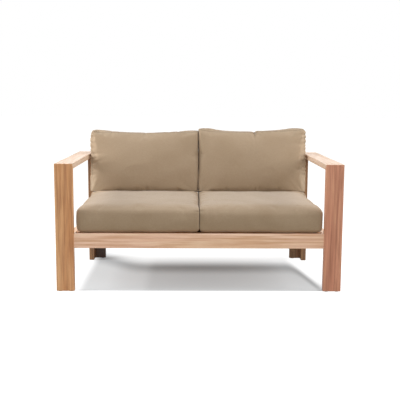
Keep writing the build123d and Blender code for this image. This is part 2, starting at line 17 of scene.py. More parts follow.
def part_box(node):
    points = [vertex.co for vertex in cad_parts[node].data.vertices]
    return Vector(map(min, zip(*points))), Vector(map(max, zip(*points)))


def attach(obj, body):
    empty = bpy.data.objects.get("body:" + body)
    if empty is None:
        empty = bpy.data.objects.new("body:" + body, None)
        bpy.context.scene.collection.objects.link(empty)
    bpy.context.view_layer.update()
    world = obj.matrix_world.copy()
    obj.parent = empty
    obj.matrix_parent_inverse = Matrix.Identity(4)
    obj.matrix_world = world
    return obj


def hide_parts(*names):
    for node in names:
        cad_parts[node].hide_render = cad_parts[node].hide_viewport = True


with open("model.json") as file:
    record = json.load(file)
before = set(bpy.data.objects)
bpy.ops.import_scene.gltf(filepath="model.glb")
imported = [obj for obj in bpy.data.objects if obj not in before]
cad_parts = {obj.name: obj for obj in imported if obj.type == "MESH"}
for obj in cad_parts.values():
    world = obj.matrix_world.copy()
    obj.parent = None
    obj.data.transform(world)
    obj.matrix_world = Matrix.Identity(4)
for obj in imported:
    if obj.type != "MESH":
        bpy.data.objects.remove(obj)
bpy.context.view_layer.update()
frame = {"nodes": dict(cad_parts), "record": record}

MM = 0.001
REPORT = logging.getLogger("loveseat")
Numbers = np.ndarray
Colour = tuple[float, float, float]
BLACK, WHITE = (0.0, 0.0, 0.0), (1.0, 1.0, 1.0)
Socket, Piece, Shape = bpy.types.NodeSocket, bpy.types.Object, bmesh.types.BMesh


def linear(red: int, green: int, blue: int) -> Colour:
    """Turn a colour of 0 to 255 a channel, as a screen shows it, into linear light."""
    return tuple(((c / 255 + 0.055) / 1.055) ** 2.4 if c > 10 else c / 3294.6 for c in (red, green, blue))


@dataclass(frozen=True)
class Value:
    """A number that varies over a surface, so that shader maths reads as an expression."""

    nodes: "Nodes"
    socket: Socket

    def apply(self, operation: str, *others: "Value | float") -> "Value":
        """Feed this number, and any others, to one Math node.

        Args:
            operation: The Math node's operation.
            others: The second and third inputs.

        Returns:
            The node's result.
        """
        inputs = dict(enumerate((self, *others)))
        node = self.nodes.node("ShaderNodeMath", {"operation": operation}, inputs)
        return Value(self.nodes, node.outputs[0])

    def __add__(self, other: "Value | float") -> "Value":
        """Add."""
        return self.apply("ADD", other)

    def __mul__(self, other: "Value | float") -> "Value":
        """Multiply."""
        return self.apply("MULTIPLY", other)

    def __sub__(self, other: "Value | float") -> "Value":
        """Subtract."""
        return self.apply("SUBTRACT", other)

    def __rsub__(self, other: float) -> "Value":
        """Subtract this from a plain number."""
        return self.apply("MULTIPLY_ADD", -1.0, other)

    def __pow__(self, other: float) -> "Value":
        """Raise to a power."""
        return self.apply("POWER", other)

    def rise(self, low: float, high: float) -> "Value":
        """Turn a stretch of this number into a smooth step.

        Args:
            low: Where the step is 0.
            high: Where the step is 1.

        Returns:
            A mask from 0 to 1.
        """
        settings = {"interpolation_type": "SMOOTHSTEP", "clamp": True}
        inputs = {"Value": self, "From Min": low, "From Max": high}
        return Value(self.nodes, self.nodes.node("ShaderNodeMapRange", settings, inputs).outputs[0])


class Axis(Enum):
    """A direction of the frame, with its number as a value."""

    X = 0
    Y = 1
    Z = 2


class Nodes:
    """A node tree, and short ways to add to it."""

    def __init__(self, tree: bpy.types.NodeTree) -> None:
        """Take a tree in hand."""
        self.tree = tree

    def node(self, kind: str, settings: dict | None = None, inputs: dict | None = None) -> bpy.types.Node:
        """Add a node.

        Args:
            kind: The node's type.
            settings: Properties of the node, which are set first.
            inputs: Values or links for its sockets, by name or number.

        Returns:
            The new node.
        """
        node = self.tree.nodes.new(kind)
        for key, value in (settings or {}).items():
            setattr(node, key, value)
        for key, value in (inputs or {}).items():
            if isinstance(value, Value):
                value = value.socket
            if isinstance(value, Socket):
                self.tree.links.new(value, node.inputs[key])
            elif isinstance(value, tuple) and len(node.inputs[key].default_value) > len(value):
                node.inputs[key].default_value = (*value, 1.0)
            else:
                node.inputs[key].default_value = value
        return node

    def mix(self, mask: Value, first: "Colour | Socket", second: Colour) -> Socket:
        """Mix two colours: the first shows where the mask is 0, and the second where it is 1."""
        return self.node("ShaderNodeMix", {"data_type": "RGBA"}, {0: mask, 6: first, 7: second}).outputs[2]

    def seen(self) -> Value:
        """Give 1 to the rays of the camera, of reflections and of glass, and 0 to those that carry light."""
        rays = self.node("ShaderNodeLightPath").outputs
        seen = Value(self, rays["Is Camera Ray"])
        for kind in ("Is Glossy Ray", "Is Transmission Ray"):
            seen = seen.apply("MAXIMUM", Value(self, rays[kind]))
        return seen


class Finish(Nodes):
    """One material: its node tree, its Principled shader and the ways to feed them."""

    def __init__(self, name: str, **constants: float) -> None:
        """Start a material.

        Args:
            name: The material's name.
            constants: Values that are the same all over, by socket name with underscores.
        """
        self.material = bpy.data.materials.new(name)
        self.material.use_nodes = True
        super().__init__(self.material.node_tree)
        self.shader = self.tree.nodes["Principled BSDF"]
        for key, value in constants.items():
            self.shader.inputs[key.replace("_", " ")].default_value = value

    def place(self, scale: Colour = (1.0, 1.0, 1.0), shift: Colour = (0.0, 0.0, 0.0)) -> Socket:
        """Give the Object coordinates, scaled and shifted.

        Args:
            scale: Scale along each axis.
            shift: Shift along each axis, after the scale.

        Returns:
            The vector's socket.
        """
        source = self.node("ShaderNodeTexCoord").outputs["Object"]
        inputs = {"Vector": source, "Location": shift, "Scale": scale}
        return self.node("ShaderNodeMapping", None, inputs).outputs[0]

    def split(self, vector: Socket) -> tuple[Value, Value, Value]:
        """Take a vector apart into its three numbers."""
        node = self.node("ShaderNodeSeparateXYZ", None, {0: vector})
        return tuple(Value(self, node.outputs[i]) for i in range(3))

    def normal(self) -> tuple[Value, Value, Value]:
        """Give how far the surface faces along each axis, without its sign."""
        source = self.node("ShaderNodeNewGeometry").outputs["Normal"]
        node = self.node("ShaderNodeVectorMath", {"operation": "ABSOLUTE"}, {0: source})
        return self.split(node.outputs[0])

    def noise(self, vector: Socket, scale: float, detail: float = 3.0, rough: float = 0.5) -> Value:
        """Add a noise from 0 to 1, with its blotches per metre and its finer layers."""
        inputs = {"Vector": vector, "Scale": scale, "Detail": detail, "Roughness": rough}
        return Value(self, self.node("ShaderNodeTexNoise", None, inputs).outputs[0])

    def feed(self, colour: Socket, roughness: Value, height: Value, depth: float) -> "Finish":
        """Feed the base colour, the roughness and the bump.

        Args:
            colour: The base colour.
            roughness: The roughness.
            height: The bump's height, from 0 to 1.
            depth: What a height of 1 stands for, in metres.

        Returns:
            This finish.
        """
        bump = self.node("ShaderNodeBump", None, {"Strength": 1.0, "Distance": depth, "Height": height})
        sockets = {"Base Color": colour, "Roughness": roughness.socket, "Normal": bump.outputs[0]}
        for name, socket in sockets.items():
            self.tree.links.new(socket, self.shader.inputs[name])
        return self

    def dress(self, piece: Piece) -> None:
        """Put this finish on a piece."""
        piece.data.materials.clear()
        piece.data.materials.append(self.material)


@dataclass(frozen=True)
class Palette:
    """Colours of one board: its pale and warm wood, its rosy bands and its dark latewood."""

    pale: Colour
    warm: Colour
    rosy: Colour
    dark: Colour


class Tone(Enum):
    """How pale or dark a board is: the wood's own colour, with painted light for the arms and painted shade
    for the rear legs' boards.
    """

    # Painted light: a pale greyish wood for the arms and the back shelf, whose colour takes in the wash of
    # light on their tops.
    PALE_AND_LIT = Palette(
        linear(228, 203, 183), linear(215, 184, 157), linear(220, 188, 168), linear(190, 152, 119)
    )
    PALE = Palette(linear(250, 222, 194), linear(235, 194, 160), linear(242, 202, 182), linear(204, 156, 119))
    TAN = Palette(linear(228, 180, 132), linear(200, 142, 94), linear(206, 148, 112), linear(150, 94, 58))
    PINK = Palette(linear(220, 168, 132), linear(194, 134, 96), linear(198, 134, 112), linear(140, 86, 60))
    # Brown wood darkened with painted shade, for the rear legs' boards that stand in the shadow under the
    # seat.
    BROWN = Palette(linear(180, 142, 103), linear(150, 112, 78), linear(154, 110, 80), linear(98, 68, 45))
    # Painted shade: the darkest brown, for the left rear back board, which lies deepest in the shadow under
    # the seat.
    DEEP_SHADE = Palette(linear(106, 74, 50), linear(80, 54, 37), linear(86, 56, 41), linear(50, 32, 21))


@dataclass(frozen=True)
class Layer:
    """A noise that is squeezed across the grain and drawn out along it."""

    across: float
    along: float
    detail: float
    rough: float = 0.5


@dataclass(frozen=True)
class Timber:
    """Oiled hardwood whose grain runs along one axis of the frame."""

    grain: Axis
    tone: Tone
    figure_share: float = 1.0
    rosy_share: float = 0.4
    rings: float = 7.0
    shift: float = 0.0
    broad: Layer = Layer(across=14.0, along=1.0, detail=3.0, rough=0.55)
    growth: Layer = Layer(across=10.0, along=0.9, detail=1.5)
    streaks: Layer = Layer(across=120.0, along=3.0, detail=5.0, rough=0.65)
    fine: Layer = Layer(across=420.0, along=10.0, detail=3.0, rough=0.7)
    pores: Layer = Layer(across=950.0, along=26.0, detail=1.0)
    rosiness: Layer = Layer(across=12.0, along=0.8, detail=2.0)
    bump: float = 0.25 * MM
    worn: tuple[float, float] = (0.4 * MM, 3.2 * MM)

    def noise(self, finish: Finish, layer: Layer) -> Value:
        """Add the noise of one layer.

        Args:
            finish: The finish that takes it.
            layer: How it runs with the grain.

        Returns:
            The noise, from 0 to 1.
        """
        scale = [layer.across] * 3
        scale[self.grain.value] = layer.along
        place = finish.place(tuple(scale), (self.shift, 2 * self.shift, 3 * self.shift))
        return finish.noise(place, 1.0, layer.detail, layer.rough)

    def make(self, name: str, box: tuple[Vector, Vector]) -> Finish:
        """Make the finish for one board.

        Args:
            name: The material's name.
            box: The board's lowest and highest corners.

        Returns:
            The finish.
        """
        finish = Finish(name, Specular_IOR_Level=0.5)
        hues, figure = self.tone.value, self.figure_share
        streak, fine = self.noise(finish, self.streaks), self.noise(finish, self.fine)
        pore = self.noise(finish, self.pores).rise(0.62, 0.75)
        growth = self.noise(finish, self.growth)
        ring = ((growth * self.rings + streak * 0.6) * (2 * math.pi)).apply("SINE").rise(-0.3, 1.0)
        rosy_level = 0.66 - 0.3 * self.rosy_share
        rosy = self.noise(finish, self.rosiness).rise(rosy_level, rosy_level + 0.14)
        body = finish.mix(self.noise(finish, self.broad).rise(0.36, 0.62), hues.pale, hues.warm)
        for mask, share, hue in (
            (rosy, 0.7, hues.rosy),
            (ring, 0.28 * figure, hues.dark),
            (streak.rise(0.47, 0.7), 0.62 * figure, hues.dark),
            (1.0 - streak.rise(0.32, 0.5), 0.55 * figure, hues.pale),
            (fine.rise(0.5, 0.72), 0.3, hues.dark),
            (pore, 0.25, hues.dark),
            (finish.normal()[self.grain.value].rise(0.8, 0.95), 0.4, hues.dark),
            (self.edges(finish, box), 0.3, hues.pale),
        ):
            body = finish.mix(mask * share, body, hue)
        return finish.feed(body, streak * 0.12 + 0.36, fine * 0.5 + streak * 0.4 + pore * -0.25, self.bump)

    def edges(self, finish: Finish, box: tuple[Vector, Vector]) -> Value:
        """Find the arrises of a board, where hands and weather wear the oil off.

        Args:
            finish: The finish that the mask is for.
            box: The board's lowest and highest corners.

        Returns:
            A mask that is 1 at the board's edges.
        """
        low, high = box
        middle, half = (low + high) / 2, (high - low) / 2
        places = zip(finish.split(finish.place()), middle, half)
        first, second, third = [reach - (value - centre).apply("ABSOLUTE") for value, centre, reach in places]
        lower, upper = first.apply("MINIMUM", second), first.apply("MAXIMUM", second)
        edge = lower.apply("MAXIMUM", upper.apply("MINIMUM", third))
        return 1.0 - edge.rise(*self.worn)


@dataclass(frozen=True)
class CoverCloth:
    """Woven outdoor cloth in a taupe melange."""

    base: Colour = linear(165, 144, 120)
    light: Colour = linear(180, 161, 138)
    deep: Colour = linear(139, 116, 88)
    # Painted shade in the grooves of the seams.
    seam: Colour = linear(88, 70, 44)
    pitch: float = 1.2 * MM

    def make(self, name: str) -> Finish:
        """Make the finish.

        Args:
            name: The material's name.

        Returns:
            The finish.
        """
        finish = Finish(name, Specular_IOR_Level=0.2, Sheen_Weight=0.22, Sheen_Roughness=0.5)
        x, y, z = finish.split(finish.place())
        facing_x, _, facing_z = finish.normal()
        sideways, upwards = facing_x.rise(0.66, 0.74), facing_z.rise(0.66, 0.74)
        along = x * (1.0 - sideways) + y * sideways
        across = z * (1.0 - upwards) + y * upwards
        turn = 2 * math.pi / self.pitch
        weave = (along * turn).apply("SINE") * (across * turn).apply("SINE") * 0.5 + 0.5
        warp = finish.noise(finish.place((900.0, 900.0, 60.0)), 1.0, 2.0)
        weft = finish.noise(finish.place((60.0, 700.0, 900.0)), 1.0, 2.0)
        soft = finish.noise(finish.place(), 5.0, 3.0)
        # The seams stored on the mesh, where the finish paints shade into their grooves.
        seam = finish.node("ShaderNodeAttribute", {"attribute_name": "seam"}).outputs["Fac"]
        body = finish.mix((warp * 0.5 + weft * 0.5).rise(0.38, 0.62) * 0.5, self.base, self.light)
        for mask, share, hue in (
            (1.0 - weave, 0.22, self.deep),
            (soft.rise(0.45, 0.75), 0.25, self.deep),
            (Value(finish, seam), 0.5, self.seam),
        ):
            body = finish.mix(mask * share, body, hue)
        return finish.feed(body, weave * 0.08 + 0.84, weave * 0.7 + warp * 0.3, 0.22 * MM)


@dataclass(frozen=True)
class Foam:
    """Open-cell foam, with its pores."""

    pale: Colour = linear(236, 228, 208)
    deep: Colour = linear(206, 194, 166)

    def make(self, name: str) -> Finish:
        """Make the finish."""
        finish = Finish(name, Specular_IOR_Level=0.1)
        cell = finish.noise(finish.place(), 700.0, 2.0)
        soft = finish.noise(finish.place(), 12.0, 2.0)
        body = finish.mix(cell.rise(0.5, 0.7) * 0.6 + soft * 0.3, self.pale, self.deep)
        return finish.feed(body, cell * 0.1 + 0.88, cell, 0.6 * MM)


@dataclass(frozen=True)
class Steel:
    """Brushed stainless steel, drawn along the board that it lies on."""

    bright: Colour = linear(198, 198, 194)
    dull: Colour = linear(160, 159, 154)

    def make(self, name: str) -> Finish:
        """Make the finish."""
        finish = Finish(name, Metallic=1.0)
        brushed = finish.noise(finish.place((40.0, 900.0, 900.0)), 1.0, 3.0)
        blotch = finish.noise(finish.place(), 30.0, 3.0)
        body = finish.mix(brushed * 0.5 + blotch.rise(0.4, 0.8) * 0.5, self.bright, self.dull)
        return finish.feed(body, brushed * 0.25 + 0.28, brushed, 0.04 * MM)


@dataclass(frozen=True)
class Moulded:
    """Moulded plastic with a fine grain."""

    body: Colour
    worn: Colour

    def make(self, name: str) -> Finish:
        """Make the finish."""
        finish = Finish(name, Specular_IOR_Level=0.4)
        grain = finish.noise(finish.place(), 1500.0, 2.0)
        rub = finish.noise(finish.place(), 60.0, 4.0)
        body = finish.mix(rub.rise(0.5, 0.8) * 0.5, self.body, self.worn)
        return finish.feed(body, rub * 0.2 + 0.45, grain, 0.05 * MM)


def piece_from(shape: Shape, name: str) -> Piece:
    """Turn a bmesh into a piece with smooth shading.

    Args:
        shape: The bmesh, which is freed.
        name: The piece's name.

    Returns:
        The new object, linked to the scene.
    """
    mesh = bpy.data.meshes.new(name)
    shape.to_mesh(mesh)
    shape.free()
    mesh.shade_smooth()
    piece = bpy.data.objects.new(name, mesh)
    bpy.context.scene.collection.objects.link(piece)
    return piece


def round_edges(shape: Shape, edges: list[bmesh.types.BMEdge], radius: float, segments: int) -> None:
    """Bevel some edges round."""
    bmesh.ops.bevel(
        shape, geom=edges, offset=radius, segments=segments, profile=0.5, affect="EDGES", material=-1
    )


def settle(piece: Piece) -> None:
    """Apply a piece's modifiers to its mesh."""
    bpy.context.view_layer.update()
    graph = bpy.context.evaluated_depsgraph_get()
    done = bpy.data.meshes.new_from_object(piece.evaluated_get(graph))
    worn_out = piece.data
    piece.modifiers.clear()
    piece.data = done
    bpy.data.meshes.remove(worn_out)


def read(mesh: bpy.types.Mesh, what: str = "co") -> Numbers:
    """Read a vector of every vertex.

    Args:
        mesh: The mesh.
        what: co for places or normal for directions.

    Returns:
        One row of three numbers for each vertex.
    """
    values = np.empty(len(mesh.vertices) * 3)
    mesh.vertices.foreach_get(what, values)
    return values.reshape(-1, 3)


def write(mesh: bpy.types.Mesh, places: Numbers) -> None:
    """Move every vertex to its new place."""
    mesh.vertices.foreach_set("co", places.ravel())
    mesh.update()


@dataclass(frozen=True)
class Fold:
    """One crease that runs away from a seam."""

    place: float
    reach: float
    width: float
    depth: float
    slant: float = 0.0

    def sink(self, along: Numbers, away: Numbers) -> Numbers:
        """Work out the crease's depth from the places along its seam and away from it."""
        offset = (along - self.place - self.slant * away) / (self.width * (1 + away / self.reach))
        return self.depth * np.exp(-(offset**2)) * np.exp(-((away / self.reach) ** 1.5))


@dataclass(frozen=True)
class Fan:
    """Creases that spread over a face from one point of its seam."""

    x: float
    z: float
    aim: float
    spread: float
    count: int
    reach: float
    depth: float
    seed: int
    root: float = 3 * MM
    flare_share: float = 0.09

    def sink(self, x: Numbers, z: Numbers) -> Numbers:
        """Work out how deep the creases are.

        Args:
            x: Sideways place of each vertex.
            z: Level of each vertex.

        Returns:
            Depth in metres.
        """
        draw = random.Random(self.seed)
        away, turn = np.hypot(x - self.x, z - self.z), np.arctan2(z - self.z, x - self.x)
        total = np.zeros(len(x))
        for number in range(self.count):
            way = self.aim + self.spread * ((number + 0.5) / self.count - 0.5) + draw.uniform(-0.07, 0.07)
            reach, depth = self.reach * draw.uniform(0.6, 1.2), self.depth * draw.uniform(0.5, 1.0)
            offset = np.sin(turn - way) * away / (self.root + self.flare_share * away)
            ahead = np.cos(turn - way) > 0
            total += ahead * depth * np.exp(-(offset**2)) * np.exp(-((away / reach) ** 1.5))
        return total


@dataclass(frozen=True)
class Rumple:
    """The soft unevenness of a filled cover, as a sum of a few waves."""

    height: float
    length: float
    waves: int = 8

    def sink(self, rest: Numbers, seed: int) -> Numbers:
        """Work out how deep each place lies.

        Args:
            rest: Places on the rounded block.
            seed: Seed of the random draws.

        Returns:
            Depth in metres.
        """
        draw = random.Random(seed)
        total = np.zeros(len(rest))
        for _ in range(self.waves):
            way = np.array([draw.gauss(0, 1) for _ in range(3)])
            way /= np.linalg.norm(way)
            turns = rest @ way / (self.length * draw.uniform(0.6, 1.6)) + draw.random()
            total += np.sin(turns * 2 * math.pi)
        return total * self.height / math.sqrt(self.waves)


@dataclass(frozen=True)
class Gathers:
    """Many small folds along one stretch of a seam, where the cloth is eased into it."""

    start: float
    end: float
    spacing: float
    depth: float
    reach: float

    def folds(self, seed: int) -> list[Fold]:
        """Scatter the folds along the stretch.

        Args:
            seed: Seed of the random draws.

        Returns:
            The folds.
        """
        draw = random.Random(seed)
        place, found = self.start, []
        while place < self.end:
            strength = draw.uniform(0.35, 1.0)
            width = self.spacing * draw.uniform(0.16, 0.3)
            reach = self.reach * strength * draw.uniform(0.7, 1.3)
            found.append(Fold(place, reach, width, self.depth * strength, draw.uniform(-0.35, 0.35)))
            place += self.spacing * draw.uniform(0.6, 1.5)
        return found


@dataclass
class Cushion:
    """A loose cushion: its sewn cover and the foam in it."""

    kind: ClassVar[str]
    panel_axis: ClassVar[Axis]
    side: str
    cloth: Finish
    foam: Finish
    voxel: float = 7 * MM
    swell: float = 9 * MM
    pressure: float = 4.0
    steps: int = 20
    segments: int = 6
    foam_inset: float = 9 * MM
    seam_width: float = 3.2 * MM
    seam_depth: float = 1.8 * MM
    gap: float = 0.3 * MM
    corner_round: float = 14 * MM
    high_round: float = 16 * MM
    low_round: float = 15 * MM
    belly: float = 0.0
    crown: float = 0.0
    inner_press: float = 22 * MM
    outer_press: float = 15 * MM
    foot_press: float = 34 * MM
    rear_press: float = 8 * MM
    outer_proud: float = 0.0
    proud: float = 0.0
    low: Vector = field(init=False)
    high: Vector = field(init=False)

    def __post_init__(self) -> None:
        """Read the space that the cushion fills."""
        self.low, self.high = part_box(self.node("cover"))

    def node(self, what: str) -> str:
        """Name one of the cushion's solids."""
        return f"{self.kind}_cushion_{what}_{self.side}"

    @property
    def body(self) -> str:
        """Name the body that the cushion's pieces ride on."""
        return f"{self.kind}_cushion_{self.side}"

    @property
    def outer(self) -> int:
        """Give the direction of the arm: -1 on the left and 1 on the right."""
        return -1 if self.side == "left" else 1

    def shaped(self, rest: Numbers) -> Numbers:
        """Turn places on the rounded block into places on the plump cushion."""
        raise NotImplementedError

    def sides(self, outer: float, inner: float) -> tuple[float, float]:
        """Put a value of the arm's side and one of the middle's side in order from left to right."""
        return (outer, inner) if self.outer < 0 else (inner, outer)

    def sunk(self, rest: Numbers) -> tuple[Numbers, Numbers]:
        """Work out how far each vertex is pushed in, and how near a seam it is, from 0 to 1."""
        raise NotImplementedError

    def shares(self, rest: Numbers) -> tuple[Numbers, Numbers, Numbers]:
        """Give each place as shares of the space: -1 to 1 across, and 0 to 1 rearwards and upwards."""
        size = self.high - self.low
        across = (rest[:, 0] - self.low.x) / size.x * 2 - 1
        return across, (rest[:, 1] - self.low.y) / size.y, (rest[:, 2] - self.low.z) / size.z

    def blank(self) -> Shape:
        """Cut the block that the cushion is shaped from: its corners, then the rims of its two panels."""
        ease = Vector((1, 1, 1)) * self.swell * 0.5
        low = self.low + ease + Vector((0, self.belly, 0))
        high = self.high - ease - Vector((0, 0, self.crown))
        shape = bmesh.new()
        bmesh.ops.create_cube(shape, size=1.0)
        bmesh.ops.scale(shape, vec=high - low, verts=shape.verts)
        bmesh.ops.translate(shape, vec=(low + high) / 2, verts=shape.verts)
        axis = self.panel_axis.value
        joining = [e for e in shape.edges if abs(e.verts[0].co[axis] - e.verts[1].co[axis]) > self.gap]
        round_edges(shape, joining, self.corner_round, self.segments)
        for level, radius in ((high[axis], self.high_round), (low[axis], self.low_round)):
            ring = [e for e in shape.edges if all(abs(v.co[axis] - level) < self.gap for v in e.verts)]
            round_edges(shape, ring, radius, self.segments)
        bmesh.ops.recalc_face_normals(shape, faces=shape.faces)
        return shape

    def filled(self, places: Numbers) -> Numbers:
        """Stretch the cushion until it fills its space and presses on what it lies against."""
        low, high = places.min(axis=0), places.max(axis=0)
        left, right = self.sides(self.outer_press, self.inner_press)
        start = np.array(self.low - Vector((left, 0, self.foot_press)))
        end = np.array(self.high + Vector((right, self.rear_press, self.proud)))
        return start + (places - low) / (high - low) * (end - start)

    def fitted(self, places: Numbers) -> Numbers:
        """Flatten the cushion where it presses on its neighbours, and let the zip into its rear.

        Args:
            places: Places on the free cushion.

        Returns:
            Places within its space, but for a little at its outer side and at the top.
        """
        left, right = self.sides(self.outer_proud, self.gap)
        low, high = self.low - Vector((left, 0, 0)), self.high + Vector((right, 0, self.proud))
        places = np.clip(places, np.array(low), np.array(high))
        low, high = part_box(self.node("zip"))
        x, y, z = places.T
        inside = (x > low.x) & (x < high.x) & (z > low.z) & (z < high.z)
        places[:, 1] = np.where(inside, np.minimum(y, low.y - self.gap), y)
        return places

    @staticmethod
    def remesh(piece: Piece, voxel: float) -> None:
        """Give a piece an even mesh of small cells."""
        cells = piece.modifiers.new("cells", "REMESH")
        cells.mode = "VOXEL"
        cells.voxel_size = voxel
        settle(piece)

    def sewn(self) -> Piece:
        """Build the cover: block, cloth mesh, plump shape, air pressure, seams and folds."""
        piece = piece_from(self.blank(), self.body)
        self.remesh(piece, self.voxel)
        rest = read(piece.data)
        kept = piece.data.attributes.new("rest", "FLOAT_VECTOR", "POINT")
        kept.data.foreach_set("vector", rest.ravel())
        write(piece.data, self.shaped(rest))
        self.inflate(piece)
        write(piece.data, self.fitted(self.filled(read(piece.data))))
        fine = piece.modifiers.new("fine", "SUBSURF")
        fine.levels = fine.render_levels = 1
        settle(piece)
        self.stitch(piece.data)
        piece.data.shade_smooth()
        return piece

    def inflate(self, piece: Piece) -> None:
        """Let air pressure fill the cover, and cap how far it swells.

        Args:
            piece: The cover, whose mesh takes the result.
        """
        start = read(piece.data)
        scene = bpy.context.scene
        cloth = piece.modifiers.new("air", "CLOTH")
        settings = cloth.settings
        settings.quality = 4
        settings.mass = 0.25
        settings.tension_stiffness = settings.compression_stiffness = 22.0
        settings.shear_stiffness = 12.0
        settings.bending_stiffness = 3.0
        settings.use_pressure = True
        settings.uniform_pressure_force = self.pressure
        settings.effector_weights.gravity = 0.0
        cloth.point_cache.frame_start, cloth.point_cache.frame_end = 1, self.steps
        for step in range(1, self.steps + 1):
            scene.frame_set(step)
        settle(piece)
        scene.frame_set(1)
        moved = read(piece.data) - start
        length = np.linalg.norm(moved, axis=1, keepdims=True)
        write(piece.data, start + moved * np.minimum(1.0, self.swell / np.maximum(length, 1e-9)))
        REPORT.info("%s swells %.1f mm at most before the cap", piece.name, length.max() / MM)

    def stitch(self, mesh: bpy.types.Mesh) -> None:
        """Sink the seams and folds into the cover, and store the seams for the painted shade that the finish
        puts in their grooves.
        """
        stored = mesh.attributes["rest"]
        rest = np.empty(len(mesh.vertices) * 3)
        stored.data.foreach_get("vector", rest)
        mesh.attributes.remove(stored)
        depth, seam = self.sunk(rest.reshape(-1, 3))
        places = read(mesh) - read(mesh, "normal") * depth[:, None]
        write(mesh, self.fitted(places))
        # Painted shade: the seams are stored so that the cloth darkens in their grooves.
        seam_shade = mesh.attributes.new("seam", "FLOAT", "POINT")
        seam_shade.data.foreach_set("value", seam.astype(np.float32))

    def core(self, cover: Piece) -> Piece:
        """Cut the foam to the inside of the cover.

        Args:
            cover: The finished cover.

        Returns:
            The foam.
        """
        piece = bpy.data.objects.new(f"{self.kind}_foam_{self.side}", cover.data.copy())
        bpy.context.scene.collection.objects.link(piece)
        self.remesh(piece, 2 * self.voxel)
        write(piece.data, read(piece.data) - read(piece.data, "normal") * self.foam_inset)
        piece.data.shade_smooth()
        return piece

    def near_seams(self, along: Numbers, seams: tuple[float, ...]) -> Numbers:
        """Say how near each place is to a seam, from 0 to 1."""
        return np.max([np.exp(-(((along - seam) / self.seam_width) ** 2)) for seam in seams], axis=0)

    def build(self) -> list[Piece]:
        """Build and dress the cushion, and hang its pieces on its body."""
        cover = self.sewn()
        self.cloth.dress(cover)
        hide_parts(self.node("cover"))
        foam = self.core(cover)
        self.foam.dress(foam)
        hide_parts(self.node("filling"))
        for piece in (cover, foam):
            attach(piece, self.body)
        return [cover, foam]


@dataclass
class SeatCushion(Cushion):
    """A boxed seat cushion with a crowned top and a soft front edge."""

    kind: ClassVar[str] = "seat"
    panel_axis: ClassVar[Axis] = Axis.Z
    crown: float = 14 * MM
    belly: float = 11 * MM
    foot_draw: float = 3 * MM
    side_belly: float = 6 * MM
    corner_round: float = 20 * MM
    high_round: float = 11 * MM
    front_fall: float = 15 * MM
    front_reach: float = 90 * MM
    seam_drop: float = 24 * MM
    foot_seam: float = 10 * MM
    rim: float = 0.07
    inner_press: float = 20 * MM
    outer_press: float = 9 * MM
    outer_proud: float = 5 * MM
    foot_press: float = 7 * MM
    lodge: float = 24 * MM
    lodge_fade: float = 35 * MM
    cover_start: float = 20 * MM
    foot_tuck: float = 26 * MM
    foot_tuck_size: float = 16 * MM
    rumple: Rumple = Rumple(height=1.5 * MM, length=190 * MM)
    side_gathers: Gathers = Gathers(0.0, 640 * MM, spacing=36 * MM, depth=2.0 * MM, reach=34 * MM)
    corner_gathers: tuple[Gathers, ...] = (
        Gathers(0.0, 110 * MM, spacing=34 * MM, depth=1.8 * MM, reach=38 * MM),
        Gathers(480 * MM, 600 * MM, spacing=34 * MM, depth=1.8 * MM, reach=38 * MM),
    )

    def shaped(self, rest: Numbers) -> Numbers:
        """Crown the top, let its front fall, belly the front and the sides, and draw the foot in."""
        across, back, up = self.shares(rest)
        up = np.clip(up, 0, 1)
        places = rest.copy()
        dome = (1 - np.abs(across) ** 4) * (1 - np.abs(2 * back - 1) ** 3.2)
        fall = np.clip(1 - (rest[:, 1] - self.low.y) / self.front_reach, 0, 1) ** 2
        places[:, 2] += (self.crown * dome - self.front_fall * fall) * up
        waist = np.clip(1 - np.abs(2 * up - 0.95) ** 2.2, 0, 1)
        front = np.clip(1 - back * 5, 0, 1) ** 1.5
        places[:, 1] -= self.belly * waist * (1 - np.abs(across) ** 5) * front
        side = np.sign(across) * np.abs(across) ** 10
        places[:, 0] += side * (waist * self.side_belly - self.foot_draw * (1 - up) ** 2)
        return places

    def filled(self, places: Numbers) -> Numbers:
        """Fill the space, and rise against the foot of the back cushion until no gap is left under it."""
        filled = super().filled(places)
        above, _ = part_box(f"back_cushion_cover_{self.side}")
        under = np.clip((filled[:, 1] - above.y) / self.lodge_fade, 0, 1)
        filled[:, 2] += self.lodge * under * np.clip(2 * self.shares(filled)[2] - 1, 0, 1)
        return filled

    def sunk(self, rest: Numbers) -> tuple[Numbers, Numbers]:
        """Sink the seams round the top and the foot panel, and a few folds below the top seam."""
        across, back, up = self.shares(rest)
        run, deep, level = (rest - np.array(self.low)).T
        seam_level = self.high.z - self.low.z - self.seam_drop
        inwards = -across * self.outer
        front, side = back < self.rim, np.abs(across) > 1 - self.rim
        # near sinks the seams and also carries the painted shade in their grooves; taut keeps both faint but
        # at the inner front corner.
        taut = np.where(front & ~side, 0.15 + 0.85 * np.clip((inwards - 0.84) * 12, 0, 1), 0.85)
        near = self.near_seams(level, (seam_level, self.foot_seam)) * (front | side | (back > 0.94)) * taut
        depth = near * self.seam_depth + self.rumple.sink(rest, 70 + self.outer)
        drop = np.abs(seam_level - level)
        for sign, seed in ((-1, 11), (1, 12)):
            for fold in self.side_gathers.folds(seed + 3 * self.outer):
                depth += fold.sink(deep, drop) * (across * sign > 1 - self.rim)
        for seed, gathers in enumerate(self.corner_gathers, start=21):
            for fold in gathers.folds(seed + self.outer):
                depth += fold.sink(run, drop) * (back < 0.1)
        from_inner = (1 - inwards) / 2 * (self.high.x - self.low.x)
        corner = (np.maximum(from_inner, 0) ** 2 + np.maximum(level, 0) ** 2) / self.foot_tuck_size**2
        depth += self.foot_tuck * np.exp(-corner) * (back < 0.2)
        return depth, near

    def fitted(self, places: Numbers) -> Numbers:
        """Flatten the foot on the slats, the rear against the back and the top under the back cushion."""
        fitted = places.copy()
        above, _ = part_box(f"back_cushion_cover_{self.side}")
        covered = fitted[:, 1] > above.y + self.cover_start
        fitted[:, 2] = np.where(covered, np.minimum(fitted[:, 2], above.z - self.gap), fitted[:, 2])
        return super().fitted(fitted)


